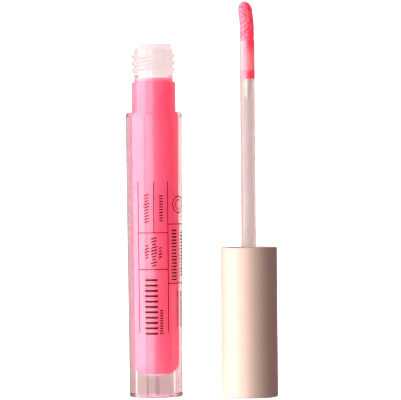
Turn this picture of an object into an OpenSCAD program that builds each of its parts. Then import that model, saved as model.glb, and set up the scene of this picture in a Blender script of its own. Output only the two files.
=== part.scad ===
// Lip gloss tube, opened: a heavy-walled clear bottle with its wiper and gloss, and beside it the
// applicator cap standing on its closed end with the wand pointing up.
// The bottle's axis is the Z axis and its foot is at z = 0. Millimetres.

/* [Bottle] */
// Outer diameter of the bottle just above its foot
foot_d = 15.7; // [14:0.1:16]
// Outer diameter of the bottle at its shoulder
shoulder_d = 16.6; // [16:0.1:17.4]
// Height of the shoulder ledge above the foot
shoulder_z = 83.1; // [60:0.1:100]
// Height of the straight part of the wall, where the shoulder's bevel starts
bevel_z = 82; // [59:0.1:99]
// Rounding of the foot's outer edge
foot_round = 0.6; // [0.2:0.1:1.2]
// Thickness of the clear floor under the gloss
floor_t = 6.6; // [3:0.1:10]
// Bore radius at the chamber's floor
chamber_r0 = 4.3; // [3.4:0.05:4.4]
// Bore radius in the neck
neck_bore_r = 4.55; // [4.45:0.05:4.7]
// Rounding between the chamber's floor and its wall
chamber_round = 3.4; // [1:0.1:3.5]

/* [Neck finish] */
// Diameter of the plain collar under the thread
collar_d = 12.8; // [12.4:0.1:13]
// Height of the collar
collar_h = 8.9; // [5:0.1:12]
// Diameter of the neck between its threads
neck_d = 11.3; // [10.8:0.1:11.4]
// Diameter over the thread crests
thread_d = 12.6; // [12:0.1:12.6]
// Height of the neck above the collar, up to the bottle's rim
neck_h = 9.6; // [8:0.1:12]
// Distance from one crest to the next
thread_step = 2.12; // [1.8:0.02:2.4]

/* [Wiper] */
// Diameter of the wiper's rim flange
flange_d = 10.9; // [10.2:0.1:11.1]
// Thickness of the rim flange
flange_t = 1.5; // [1:0.1:2]
// Length of the wiper below the flange
wiper_len = 8.3; // [6:0.1:9]
// Diameter of the wiping orifice
orifice_d = 4.4; // [3.8:0.1:4.8]

/* [Cap] */
// Distance between the bottle's axis and the cap's axis
spacing = 27.8; // [24:0.1:60]
// Outer diameter of the cap
cap_d = 16.4; // [16.2:0.1:17]
// Height of the cap
cap_h = 43.6; // [38:0.1:60]
// Wall of the outer cap
cap_wall = 0.9; // [0.7:0.05:0.9]
// Rounding of the closed end's edge
cap_round = 0.8; // [0.3:0.1:1.4]

/* [Wand] */
// Diameter of the wand's rod
rod_d = 4.3; // [3.8:0.05:4.4]
// Length of the rod that shows beyond the cap's open end
rod_reach = 48.9; // [40:0.1:52]
// Length of the smooth sleeve between the rod and the flocked tip
sleeve_h = 11.1; // [8:0.1:14]
// Length of the flocked tip
tip_h = 11.75; // [8:0.05:12]
// Diameter over the flock
tip_d = 4.45; // [4.2:0.05:4.8]
// Amount by which one side of the tip is lower than the other
tip_slant = 1.5; // [0:0.1:2]

/* [Hidden] */
$fn = 96;

REACH = 200;                // larger than any part of the object
EPS = 0.02;                 // overshoot of a cut past the face that it opens
FILM = 0.02;                // gap between the gloss and the bottle's bore
GRIP = 0.02;                // interference of a press fit, on the radius
RUN = 0.05;                 // clearance of the wand in the cap's socket, on the radius

// bottle
collar_z = shoulder_z + collar_h;
rim_z = collar_z + neck_h;
top_z = rim_z + flange_t;
ledge_r = shoulder_d / 2 - 0.4;
punt_r = 5.2;               // shallow ring-shaped hollow under the foot, around its gate pad
punt_h = 0.35;
pad_r = 1.8;
collar_round = 0.3;
rim_chamfer = 0.35;
neck_step = 0.3;            // small cove between the collar and the neck

// two-start thread
STARTS = 2;
lead = STARTS * thread_step;
thread_root = 1.74;         // axial width of a thread at its root
thread_crest = 0.5;         // axial width of a thread at its crest
thread_turns = 1.25;
thread_turn0 = -45;         // where a thread starts, so that its full crest begins at the side
thread_fade = 40;           // degrees over which a thread's end runs out
THREAD_SEG = 30;            // slices per turn
thread_bed = 0.15;          // depth to which a thread is rooted in its wall
thread_z0 = collar_z + 2.8;

// wiper
mouth_r = 3.65;
bead_h = 0.7;
bead_z = [1.1, 3.6];        // heights of the two retaining beads, down from the flange
funnel_h = 3.3;             // height of the cone between the mouth and the lip
lip_h = 0.9;
wiper_wall = 0.65;
pocket_h = 2.2;             // open pocket under the funnel, inside the sleeve
sleeve_bevel = 0.6;         // bevel that leads the sleeve into the neck
level_z = rim_z - wiper_len - 0.3;   // top of the gloss

// cap, measured from its closed end, which stands on the floor
cap_r = cap_d / 2;
inner_r = cap_r - cap_wall;
seat_depth = top_z - shoulder_z;     // how far the neck reaches into the cap
seal_t = 0.8;
seal_z = cap_h - 0.2 - seat_depth - seal_t;
disc_t = 1.6;
disc_z = seal_z - disc_t;
skirt_r = inner_r - 0.1;
RIBS = 12;
rib_w = 0.8;
rib_top = cap_h - 4;
skirt_bore_r = collar_d / 2 + 0.2;   // over the bottle's collar
thread_bore_r = thread_d / 2 + 0.15; // over the bottle's thread
female_r = neck_d / 2 + 0.25;        // crests of the inner thread
female_from = 3.3;                   // where the inner thread starts, below the seal
end_wall = 1.3;
bead_in = 0.35;             // rounding of the cap's open rim
skirt_end = cap_h - 0.5;
socket_depth = 11;
boss_r = 3.6;
boss_end = 1.2;

// wand
rod_r = rod_d / 2;
rod_foot = disc_z + disc_t - socket_depth;
rod_top = cap_h + rod_reach;
hole_top_r = 1.1;           // blind hole in the rod's tip
hole_low_r = 0.6;
hole_depth = 6;
spigot_len = 5.6;
sleeve_top = rod_top + sleeve_h;
sleeve_r = rod_r + 0.05;
core_r = 1.5;               // core of the applicator inside the flock
tip_top = sleeve_top + tip_h;
core_top = tip_top - 1.6;

// A 2D square of w by h with its top right corner rounded by r.
module round_top(w, h, r) {
    square([w, h - r]);
    square([w - r, h]);
    translate([w - r, h - r]) circle(r);
}

// A 2D square of w by h with its bottom right corner rounded by r.
module round_foot(w, h, r) {
    translate([0, r]) square([w, h - r]);
    square([w - r, h]);
    translate([w - r, r]) circle(r);
}

// Keeps the part of a 2D profile that lies at x >= 0 and turns it about Z.
module turned() {
    rotate_extrude() intersection() {
        children();
        translate([0, -REACH]) square([REACH, 2 * REACH]);
    }
}

// Corner points of one thread slice at angle a, rising by lead per turn. side is 1 for a thread
// that stands out of a shaft of radius r, and -1 for one that stands into a bore. The slice is
// rooted in the wall, and at both ends of the thread its crest sinks into the wall too.
function thread_slice(a, r, depth, side, span) =
    let (run = min(1, min(a, span - a) / thread_fade),
         crest = thread_crest / 2,
         slope = (thread_root / 2 - crest) / depth,
         foot = thread_root / 2 + slope * thread_bed,
         back = r - side * thread_bed,
         tip = r + side * (depth * run - thread_bed / 2 * (1 - run)))
    [for (p = [[back, -foot], [tip, -crest], [tip, crest], [back, foot]])
        [p[0] * cos(a), p[0] * sin(a), p[1] + lead * a / 360]];

// One helical thread of the given number of turns as a closed solid. Its rings run the other way
// round on a thread that stands into a bore, so its faces are wound the other way too.
module thread_start(r, depth, side, turns) {
    span = 360 * turns;
    count = ceil(turns * THREAD_SEG);
    points = [for (i = [0:count]) each thread_slice(span * i / count, r, depth, side, span)];
    skin = [for (i = [0:count - 1], k = [0:3])
        let (a = 4 * i + k, b = 4 * i + (k + 1) % 4)
        each [[a, b + 4, a + 4], [a, b, b + 4]]];
    ends = [[3, 2, 1, 0], [for (k = [0:3]) 4 * count + k]];
    faces = concat(skin, ends);
    polyhedron(points = points, convexity = 6,
               faces = side > 0 ? faces : [for (f = faces) [for (k = [len(f) - 1:-1:0]) f[k]]]);
}

module threads(r, depth, side, turns) {
    for (s = [0:STARTS - 1])
        rotate([0, 0, thread_turn0 + 360 * s / STARTS]) thread_start(r, depth, side, turns);
}

// Outline of the bottle's wall: foot, slightly tapered body, bevelled shoulder, collar and neck.
module bottle_outline() {
    polygon([[0, 0], [foot_d / 2 - foot_round, 0], [foot_d / 2, foot_round], [shoulder_d / 2, bevel_z],
             [ledge_r, shoulder_z], [0, shoulder_z]]);
    translate([foot_d / 2 - foot_round, foot_round]) circle(foot_round);
    translate([0, shoulder_z - 1]) round_top(collar_d / 2, collar_h + 1, collar_round);
    polygon([[0, collar_z - 1], [neck_d / 2 + neck_step, collar_z - 1],
             [neck_d / 2 + neck_step, collar_z],
             [neck_d / 2, collar_z + neck_step], [neck_d / 2, rim_z - rim_chamfer],
             [neck_d / 2 - rim_chamfer, rim_z], [0, rim_z]]);
}

// Outline of the chamber from its rounded floor up to the given height, inset by gap.
module chamber_outline(top, gap) {
    r0 = chamber_r0 - gap;
    r1 = neck_bore_r - gap;
    c = chamber_round;
    z0 = floor_t + gap;
    square_z = z0 + c;
    polygon([[0, square_z], [r0, square_z], [r1, collar_z], [r1, top], [0, top]]);
    translate([0, z0]) square([r0 - c, c + 0.01]);
    translate([r0 - c, square_z]) circle(c);
}

module bottle() {
    color([1, 0.93, 0.94, 0.35]) {
        turned() difference() {
            bottle_outline();
            chamber_outline(rim_z + EPS, 0);
            translate([pad_r, -1]) square([punt_r - pad_r, 1 + punt_h]);
        }
        translate([0, 0, thread_z0])
            threads(neck_d / 2, (thread_d - neck_d) / 2, 1, thread_turns);
    }
}

module wiper() {
    sleeve = neck_bore_r - FILM;
    lip_r = orifice_d / 2;
    pocket_r = lip_r + wiper_wall + (mouth_r - lip_r) * (pocket_h - lip_h) / funnel_h;
    color([1, 0.92, 0.9, 0.8]) translate([0, 0, rim_z]) turned() difference() {
        union() {
            round_top(flange_d / 2, flange_t, 0.5);
            polygon([[0, -wiper_len], [sleeve - sleeve_bevel, -wiper_len],
                     [sleeve, sleeve_bevel - wiper_len], [sleeve, EPS], [0, EPS]]);
            for (z = bead_z) translate([0, -z - bead_h / 2])
                polygon([[0, -bead_h], [sleeve, -bead_h / 2], [neck_bore_r + GRIP, -0.1],
                         [neck_bore_r + GRIP, 0.1], [sleeve, bead_h / 2], [0, bead_h]]);
        }
        polygon([[0, -wiper_len - 1], [lip_r, -wiper_len - 1], [lip_r, lip_h - wiper_len],
                 [mouth_r, lip_h + funnel_h - wiper_len], [mouth_r, flange_t - 0.4],
                 [mouth_r + 0.5, flange_t + EPS], [0, flange_t + EPS]]);
        polygon([[lip_r + wiper_wall, -wiper_len - 1], [sleeve - wiper_wall, -wiper_len - 1],
                 [sleeve - wiper_wall, pocket_h - wiper_len], [pocket_r, pocket_h - wiper_len],
                 [lip_r + wiper_wall, lip_h - wiper_len]]);
    }
}

module gloss_fill() {
    color([1, 0.42, 0.55]) turned() chamber_outline(level_z, FILM);
}

module overcap() {
    color([0.93, 0.84, 0.78]) translate([spacing, 0, 0]) turned() difference() {
        union() {
            round_foot(cap_r, cap_h - bead_in, cap_round);
            translate([0, cap_h - bead_in * 2]) square([cap_r - bead_in, bead_in * 2]);
            translate([cap_r - bead_in, cap_h - bead_in]) circle(bead_in);
        }
        translate([0, end_wall]) square([inner_r, cap_h]);
    }
}

// Everything that the inner cap's skirt and socket leave open, as one outline.
module inner_cap_hollow() {
    translate([0, seal_z]) square([thread_bore_r, cap_h]);
    translate([0, cap_h - collar_h - 0.6]) square([skirt_bore_r, cap_h]);
    translate([0, rod_foot - RUN]) square([rod_r + RUN, socket_depth + disc_t]);
}

module inner_cap() {
    color([0.97, 0.93, 0.9]) translate([spacing, 0, 0]) {
        turned() difference() {
            union() {
                translate([0, disc_z]) square([skirt_r, skirt_end - disc_z]);
                translate([0, rod_foot - RUN - boss_end]) square([boss_r, socket_depth + boss_end]);
            }
            inner_cap_hollow();
        }
        for (i = [0:RIBS - 1]) rotate([0, 0, 360 * (i + 0.5) / RIBS])
            translate([skirt_r - 0.1, -rib_w / 2, disc_z + 1])
                cube([inner_r + GRIP - skirt_r + 0.1, rib_w, rib_top - disc_z - 1]);
        translate([0, 0, seal_z + seal_t + female_from])
            threads(thread_bore_r, thread_bore_r - female_r, -1, 1);
    }
}

module seal_ring() {
    color([0.98, 0.96, 0.94]) translate([spacing, 0, seal_z]) difference() {
        cylinder(r = thread_bore_r - FILM, h = seal_t);
        translate([0, 0, -1]) cylinder(r = rod_r + 0.6, h = seal_t + 2);
    }
}

module wand_rod() {
    color([0.87, 0.8, 0.77, 0.7]) translate([spacing, 0, 0]) turned() difference() {
        translate([0, rod_foot]) square([rod_r, rod_top - rod_foot]);
        polygon([[0, rod_top - hole_depth], [hole_low_r, rod_top - hole_depth], [hole_top_r, rod_top],
                 [hole_top_r, rod_top + 1], [0, rod_top + 1]]);
    }
}

module applicator_stem() {
    color([0.98, 0.72, 0.76]) translate([spacing, 0, 0]) turned() {
        polygon([[0, rod_top - spigot_len], [hole_low_r - FILM, rod_top - spigot_len],
                 [hole_top_r - FILM, rod_top], [sleeve_r, rod_top], [sleeve_r, sleeve_top],
                 [core_r, sleeve_top], [core_r, core_top - core_r], [0, core_top - core_r]]);
        translate([0, core_top - core_r]) circle(core_r);
    }
}

// The flock's coat: a blunt tip with one side a little lower than the other.
module flock_tip() {
    color([1, 0.35, 0.48]) translate([spacing, 0, 0]) difference() {
        intersection() {
            turned() {
                translate([0, sleeve_top]) square([tip_d / 2, tip_h - tip_d / 2]);
                translate([0, tip_top - tip_d / 2]) circle(tip_d / 2);
            }
            translate([-tip_d / 2 + tip_slant / 2, 0, sleeve_top])
                rotate([0, atan(tip_slant / tip_d), 0])
                    translate([-2 * tip_d, -2 * tip_d, -2 * tip_d])
                        cube([6 * tip_d, 4 * tip_d, 2 * tip_d + tip_h - 0.35]);
        }
        turned() {
            translate([0, sleeve_top - 1]) square([core_r + FILM, core_top - sleeve_top + 1 - core_r]);
            translate([0, core_top - core_r]) circle(core_r + FILM);
        }
    }
}

bottle();
wiper();
gloss_fill();
overcap();
inner_cap();
seal_ring();
wand_rod();
applicator_stem();
flock_tip();
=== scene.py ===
"""Lip gloss pack, opened: clear bottle with gloss and wiper, and the cap with its wand beside it.

Every piece is made here in metres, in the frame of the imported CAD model, which gives the places.
"""
import logging
import math
from dataclasses import dataclass, field
from enum import Enum
from typing import Callable, Sequence

import bmesh
import bpy
from mathutils import Matrix, Vector


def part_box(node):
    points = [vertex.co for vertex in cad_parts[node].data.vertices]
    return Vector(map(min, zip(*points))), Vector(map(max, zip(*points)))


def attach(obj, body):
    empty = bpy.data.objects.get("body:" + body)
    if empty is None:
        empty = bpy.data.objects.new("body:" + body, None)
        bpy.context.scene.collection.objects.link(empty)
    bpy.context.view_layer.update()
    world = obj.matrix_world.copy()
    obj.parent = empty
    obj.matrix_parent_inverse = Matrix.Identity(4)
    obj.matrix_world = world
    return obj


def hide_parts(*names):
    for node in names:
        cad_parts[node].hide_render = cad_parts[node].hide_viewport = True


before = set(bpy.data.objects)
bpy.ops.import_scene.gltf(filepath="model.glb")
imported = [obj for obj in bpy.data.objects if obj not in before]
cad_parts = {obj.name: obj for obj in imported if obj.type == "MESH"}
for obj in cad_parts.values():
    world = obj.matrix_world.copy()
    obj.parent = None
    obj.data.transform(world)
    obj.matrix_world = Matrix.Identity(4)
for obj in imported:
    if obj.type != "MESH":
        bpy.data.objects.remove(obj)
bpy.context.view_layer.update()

log = logging.getLogger("lip_gloss")

MM = 0.001
Point = tuple[float, float]
Colour = tuple[float, float, float, float]
Values = dict[str, object]
SOCKET_TYPES = {float: "NodeSocketFloat", int: "NodeSocketInt",
                bpy.types.Material: "NodeSocketMaterial"}


class Body(str, Enum):
    """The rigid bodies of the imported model."""

    TUBE = "tube"
    WAND = "wand"
    CAP = "cap"


class Slot(str, Enum):
    """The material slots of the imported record."""

    WALL = "clear_wall"
    WIPER = "wiper_plastic"
    GLOSS = "gloss"
    SHELL = "cap_shell"
    INNER = "inner_plastic"
    SEAL = "seal"
    ROD = "rod_plastic"
    STEM = "stem_plastic"
    FLOCK = "flock"


# --- node graphs


class Sock:
    """One output socket of a node graph, with arithmetic that adds Math nodes."""

    def __init__(self, graph: "Graph", socket: bpy.types.NodeSocket) -> None:
        """Keeps the graph and the socket."""
        self.graph = graph
        self.socket = socket

    def _math(self, operation: str, *values: object) -> "Sock":
        """Adds a Math node for values and returns its result."""
        node_type = "ShaderNodeMath"
        return self.graph.node(node_type, {"operation": operation}, dict(enumerate(values)))[0]

    def __add__(self, other: object) -> "Sock":
        """self + other."""
        return self._math("ADD", self, other)

    def __sub__(self, other: object) -> "Sock":
        """self - other."""
        return self._math("SUBTRACT", self, other)

    def __rsub__(self, other: object) -> "Sock":
        """other - self."""
        return self._math("SUBTRACT", other, self)

    def __mul__(self, other: object) -> "Sock":
        """self * other."""
        return self._math("MULTIPLY", self, other)

    def __truediv__(self, other: object) -> "Sock":
        """self / other."""
        return self._math("DIVIDE", self, other)

    def sin(self) -> "Sock":
        """Sine of self, in radians."""
        return self._math("SINE", self)

    def cos(self) -> "Sock":
        """Cosine of self, in radians."""
        return self._math("COSINE", self)

    def clamp(self) -> "Sock":
        """self, held between 0 and 1."""
        return self._math("MAXIMUM", self._math("MINIMUM", self, 1.0), 0.0)

    def smooth(self, low: float, high: float) -> "Sock":
        """A smooth step of self from 0 at low to 1 at high."""
        settings = {"interpolation_type": "SMOOTHSTEP"}
        return self.graph.node("ShaderNodeMapRange", settings, {0: self, 1: low, 2: high})[0]

    __radd__ = __add__
    __rmul__ = __mul__


class Graph:
    """A material's or a geometry group's node tree, built by one method."""

    def __init__(self, tree: bpy.types.NodeTree) -> None:
        """Keeps the tree and the number of nodes placed in it."""
        self.tree = tree
        self.placed = 0

    def node(self, kind: str, settings: dict | None = None,
             inputs: dict | None = None) -> list[Sock]:
        """Adds a node of any kind.

        Args:
            kind: the node's type name.
            settings: properties set before the sockets, such as operation.
            inputs: values or Socks by the input's name or number.

        Returns:
            The node's outputs, in order.
        """
        node = self.tree.nodes.new(kind)
        node.location = (180 * (self.placed % 12), -200 * (self.placed // 12))
        self.placed += 1
        for name, value in (settings or {}).items():
            setattr(node, name, value)
        for key, value in (inputs or {}).items():
            if isinstance(value, Sock):
                self.tree.links.new(value.socket, node.inputs[key])
            else:
                node.inputs[key].default_value = value
        return [Sock(self, output) for output in node.outputs]

    def one(self, kind: str, inputs: dict | None = None) -> Sock:
        """Adds a node with no settings and returns its first output."""
        return self.node(kind, None, inputs)[0]

    def geo(self, kind: str, inputs: dict | None = None) -> Sock:
        """Adds a Geometry Nodes node by its short type name and returns its first output."""
        return self.one("GeometryNode" + kind, inputs)

    def xyz(self, x: object, y: object, z: object) -> Sock:
        """A vector from three numbers."""
        return self.one("ShaderNodeCombineXYZ", {0: x, 1: y, 2: z})

    def split(self, vector: Sock) -> list[Sock]:
        """The x, y and z of a vector."""
        return self.node("ShaderNodeSeparateXYZ", None, {0: vector})

    def mix(self, factor: object, a: object, b: object) -> Sock:
        """The colour between a and b at factor."""
        return self.node("ShaderNodeMix", {"data_type": "RGBA"}, {0: factor, 6: a, 7: b})[2]


# --- finishes


@dataclass(frozen=True)
class Finish:
    """A procedural material; each finish sets its shader's constants and patterns."""

    name: str
    roughness: float = 0.4
    ior: float = 1.5

    def constants(self) -> Values:
        """Values for the shader's own sockets."""
        return {"Roughness": self.roughness, "IOR": self.ior}

    def pattern(self, graph: Graph, place: Sock) -> Values:
        """What varies over the surface, by the shader's socket. place is the Object coordinate."""
        raise NotImplementedError

    def make(self) -> bpy.types.Material:
        """Builds the material, or returns it if it is already there."""
        label = "look_" + self.name
        if label in bpy.data.materials:
            return bpy.data.materials[label]
        material = bpy.data.materials.new(label)
        material.use_nodes = True
        tree = material.node_tree
        tree.nodes.clear()
        graph = Graph(tree)
        place = graph.node("ShaderNodeTexCoord")[3]
        inputs = {**self.constants(), **self.pattern(graph, place)}
        shader = graph.node("ShaderNodeBsdfPrincipled", None, inputs)[0]
        graph.node("ShaderNodeOutputMaterial", None, {0: shader})
        return material

    @staticmethod
    def noise(graph: Graph, place: Sock, scale: float, detail: float = 3.0) -> Sock:
        """A noise value over the object, with scale in waves per metre."""
        return graph.one("ShaderNodeTexNoise", {"Vector": place, "Scale": scale, "Detail": detail})

    @staticmethod
    def bump(graph: Graph, height: Sock, distance: float, strength: float = 1.0) -> Sock:
        """A normal from a height pattern; distance is the height's real size in metres."""
        return graph.one("ShaderNodeBump",
                         {"Strength": strength, "Distance": distance, "Height": height})


@dataclass(frozen=True)
class ClearWall(Finish):
    """Thick clear copolyester: slightly wavy, a little pink in its heavy foot, stippled beneath,
    with pink spots and a painted pink glow round its rim.
    """

    tint: Colour = (1.0, 0.97, 0.97, 1)
    heavy: Colour = (0.94, 0.86, 0.87, 1)
    # edge: the pink of the rim's spots, also the colour of the painted glow there.
    edge: Colour = (0.98, 0.62, 0.76, 1)
    foot_z: float = 6.6 * MM
    rim_h: float = 1.5 * MM
    # glow: strength of the painted glow on the rim.
    glow: float = 0.16
    ior: float = 1.57
    roughness: float = 0.05

    def constants(self) -> Values:
        """A clear, bending body, with a painted glow that shows only round the foot's rim."""
        return {**super().constants(), "Transmission Weight": 1.0, "Emission Strength": self.glow}

    def pattern(self, graph: Graph, place: Sock) -> Values:
        """Tints that change with height, slow waves all over, a coarse stipple on the foot, and
        pink spots round its rim under a painted pink glow, strongest in the spots.
        """
        z = graph.split(place)[2]
        waves = self.noise(graph, place, 140.0, 2.0)
        stipple = self.noise(graph, place, 700.0, 2.0)
        rim = 1.0 - z.smooth(0.0, self.rim_h)
        tone = graph.mix(z.smooth(self.foot_z - 3 * MM, self.foot_z + 2 * MM), self.heavy,
                         self.tint)
        # Stippled spots round the rim, painted pink and given most of the painted glow.
        pink_glow_spots = stipple.smooth(0.4, 0.6)
        tone = graph.mix(rim * pink_glow_spots, tone, self.edge)
        # Painted glow: the rim gives off pink light, most in the spots, though the wall is no lamp.
        lit = graph.mix(rim * (0.25 + 0.75 * pink_glow_spots), (0, 0, 0, 1), self.edge)
        return {"Base Color": tone, "Emission Color": lit,
                "Normal": self.bump(graph, waves * 0.04 + stipple * rim * 0.5, 0.0007)}


@dataclass(frozen=True)
class ThickGloss(Finish):
    """The pink gloss: light spreads far in it for red and little for the other colours; it also
    carries a painted red glow.
    """

    pale: Colour = (0.999, 0.49, 0.65, 1)
    deep: Colour = (0.999, 0.44, 0.61, 1)
    # veil: the paler pink at the top, also the colour of the painted glow there.
    pale_top_and_glow: Colour = (0.999, 0.62, 0.68, 1)
    # edge: near-white band at the chamber's floor, also the colour of the painted glow there.
    edge: Colour = (1.0, 0.95, 0.95, 1)
    # lit: deep red colour of the painted glow over the gloss.
    lit: Colour = (1.0, 0.012, 0.08, 1)
    floor_z: float = 6.6 * MM
    level_z: float = 93.0 * MM
    reach: float = 0.004
    top_fade: Point = (1.6 * MM, 0.3 * MM)
    floor_fade: float = 0.45 * MM
    # glow: strength of the painted glow.
    glow: float = 0.36
    roughness: float = 0.45

    def constants(self) -> Values:
        """Long red scatter, short green and blue, and a painted glow."""
        return {**super().constants(), "Subsurface Weight": 1.0, "Subsurface Scale": self.reach,
                "Subsurface Radius": (1.0, 0.06, 0.09), "Specular IOR Level": 0.6,
                "Emission Strength": self.glow}

    def pattern(self, graph: Graph, place: Sock) -> Values:
        """Slow swirls of two pinks, paler under the wiper and along the chamber's floor, where the
        painted glow turns pale as well.
        """
        z = graph.split(place)[2]
        swirl = self.noise(graph, place, 60.0)
        top = z.smooth(self.level_z - self.top_fade[0], self.level_z + self.top_fade[1])
        floor = 1.0 - z.smooth(self.floor_z, self.floor_z + self.floor_fade)
        body = graph.mix(top, graph.mix(swirl, self.pale, self.deep), self.pale_top_and_glow)
        # Painted glow: deep red, turning paler towards the top and near-white at the floor.
        lit = graph.mix(top * 0.5, self.lit, self.pale_top_and_glow)
        return {"Base Color": graph.mix(floor, body, self.edge),
                "Emission Color": graph.mix(floor, lit, self.edge)}


@dataclass(frozen=True)
class MilkyPlastic(Finish):
    """Natural translucent plastic, with a film of gloss that tints it in places, and a painted pink
    glow where glow is set.
    """

    plain: Colour = (0.995, 0.96, 0.955, 1)
    filmed: Colour = (0.995, 0.9, 0.9, 1)
    reach: float = 0.003
    # glow: strength of a painted glow that stands in for light through the plastic.
    glow: float = 0.0
    gloss_level: float = 0.5
    grain: float = 900.0

    def constants(self) -> Values:
        """A cloudy body that light enters, with a painted pink glow of strength glow."""
        return {**super().constants(), "Subsurface Weight": 1.0, "Subsurface Scale": self.reach,
                "Subsurface Radius": (1.0, 0.9, 0.88), "Emission Color": (1.0, 0.86, 0.86, 1),
                "Emission Strength": self.glow, "Specular IOR Level": self.gloss_level}

    def pattern(self, graph: Graph, place: Sock) -> Values:
        """Film in slow patches and a fine moulded grain."""
        film = self.noise(graph, place, 180.0).smooth(0.35, 0.7)
        grain = self.noise(graph, place, self.grain)
        return {"Base Color": graph.mix(film, self.plain, self.filmed),
                "Roughness": self.roughness + (grain - 0.5) * 0.12,
                "Normal": self.bump(graph, grain, 0.00001)}


@dataclass(frozen=True)
class SoftLacquer(Finish):
    """Matte nude lacquer on the cap: even, with the finest orange peel."""

    tone: Colour = (0.69, 0.53, 0.465, 1)
    worn: Colour = (0.71, 0.555, 0.49, 1)
    roughness: float = 0.42

    def constants(self) -> Values:
        """A soft sheen over the lacquer."""
        return {**super().constants(), "Sheen Weight": 0.03, "Sheen Roughness": 0.4}

    def pattern(self, graph: Graph, place: Sock) -> Values:
        """Fine peel, and a tone that drifts slightly."""
        drift = self.noise(graph, place, 45.0)
        peel = self.noise(graph, place, 4200.0, 2.0)
        return {"Base Color": graph.mix(drift, self.tone, self.worn),
                "Roughness": self.roughness + (peel - 0.5) * 0.1,
                "Normal": self.bump(graph, peel, 0.000006)}


@dataclass(frozen=True)
class RodPlastic(Finish):
    """Translucent natural rod with a thin, uneven film of gloss along it, and a faint painted glow.
    """

    bare: Colour = (0.79, 0.775, 0.76, 1)
    filmed: Colour = (0.82, 0.75, 0.74, 1)
    roughness: float = 0.12
    ior: float = 1.49

    def constants(self) -> Values:
        """Mostly clear, partly cloudy, with a faint painted glow."""
        return {**super().constants(), "Transmission Weight": 0.85, "Subsurface Weight": 1.0,
                "Subsurface Scale": 0.0015, "Subsurface Radius": (1.0, 0.8, 0.75),
                # A faint painted glow.
                "Coat Roughness": 0.05, "Emission Color": (1.0, 0.93, 0.9, 1),
                "Emission Strength": 0.05}

    def pattern(self, graph: Graph, place: Sock) -> Values:
        """Film that ran down the rod in long streaks."""
        x, y, z = graph.split(place)
        runs = self.noise(graph, graph.xyz(x, y, z * 0.12), 900.0)
        film = runs.smooth(0.4, 0.68)
        return {"Base Color": graph.mix(film, self.bare, self.filmed), "Coat Weight": film * 0.6,
                "Normal": self.bump(graph, runs, 0.00003)}


@dataclass(frozen=True)
class WetSleeve(Finish):
    """Smooth pink applicator sleeve: gloss pooled round its lower end, painted shade deepening the
    pink towards +x at both ends, and a painted glow.
    """

    low: float = 0.0
    high: float = 1.0
    axis_x: float = 0.0
    pale: Colour = (1.0, 0.38, 0.43, 1)
    wet: Colour = (1.0, 0.16, 0.29, 1)
    plug: Colour = (0.92, 0.87, 0.85, 1)
    roughness: float = 0.18

    def constants(self) -> Values:
        """Wet and translucent, with a painted glow."""
        return {**super().constants(), "Subsurface Weight": 1.0, "Subsurface Scale": 0.0025,
                "Subsurface Radius": (1.0, 0.16, 0.16), "Coat Weight": 0.2, "Coat Roughness": 0.3,
                "Emission Strength": 0.28}

    def pattern(self, graph: Graph, place: Sock) -> Values:
        """Gloss pooled round the lower end with an uneven edge, over a clear plug; painted shade
        deepens the pink towards the +x side, away from the key light, at both ends, and the painted
        glow follows it.
        """
        x, _, z = graph.split(place)
        wave = (self.noise(graph, place, 320.0) - 0.5) * 0.5
        up = (z - self.low) / (self.high - self.low) + wave * 0.25
        # Painted shade: side grows towards +x, the sleeve's side turned from the key light.
        side = (x - self.axis_x).smooth(-0.6 * MM, 0.9 * MM)
        # Pooled gloss round the lower end, plus painted shade towards +x at both ends.
        pooled_gloss_and_shade = (1.0 - up.smooth(0.17, 0.27)) * (0.35 + 0.65 * side) + up.smooth(0.5, 0.95) * side
        pooled_gloss_and_shade = pooled_gloss_and_shade.clamp() * 0.9
        sleeve = z.smooth(self.low - 0.05 * MM, self.low)
        tone = graph.mix(sleeve, self.plug, graph.mix(pooled_gloss_and_shade, self.pale, self.wet))
        # Painted glow: pale red on the sleeve, deep red where pooled and shaded, grey on the plug.
        lit = graph.mix(sleeve, (0.3, 0.28, 0.27, 1),
                        graph.mix(pooled_gloss_and_shade, (1.0, 0.22, 0.27, 1), (1.0, 0.03, 0.08, 1)))
        return {"Base Color": tone, "Emission Color": lit,
                "Normal": self.bump(graph, wave, 0.00012)}


@dataclass(frozen=True)
class WetFlock(Finish):
    """Flock soaked with gloss: clumps with wet, shining edges."""

    lit: Colour = (1.0, 0.4, 0.52, 1)
    soaked: Colour = (1.0, 0.13, 0.25, 1)
    roughness: float = 0.35

    def constants(self) -> Values:
        """Wet fibres that pass red light on, with a faint painted red glow."""
        return {**super().constants(), "Subsurface Weight": 1.0, "Subsurface Scale": 0.0025,
                "Subsurface Radius": (1.0, 0.1, 0.12), "Coat Weight": 0.35, "Coat Roughness": 0.2,
                "Emission Color": (1.0, 0.02, 0.06, 1), "Emission Strength": 0.15}

    def pattern(self, graph: Graph, place: Sock) -> Values:
        """Clumps of two tones."""
        clump = self.noise(graph, place, 1900.0)
        fibre = self.noise(graph, place, 9000.0, 2.0)
        return {"Base Color": graph.mix(clump.smooth(0.4, 0.62), self.soaked, self.lit),
                "Normal": self.bump(graph, fibre, 0.00003)}


@dataclass(frozen=True)
class PrintInk(Finish):
    """Dark wine-coloured screen ink, slightly uneven."""

    full: Colour = (0.1, 0.006, 0.022, 1)
    thin: Colour = (0.19, 0.02, 0.05, 1)
    roughness: float = 0.35

    def pattern(self, graph: Graph, place: Sock) -> Values:
        """Ink that lies thicker and thinner."""
        lay = self.noise(graph, place, 2600.0)
        return {"Base Color": graph.mix(lay.smooth(0.45, 0.75), self.full, self.thin)}


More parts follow.
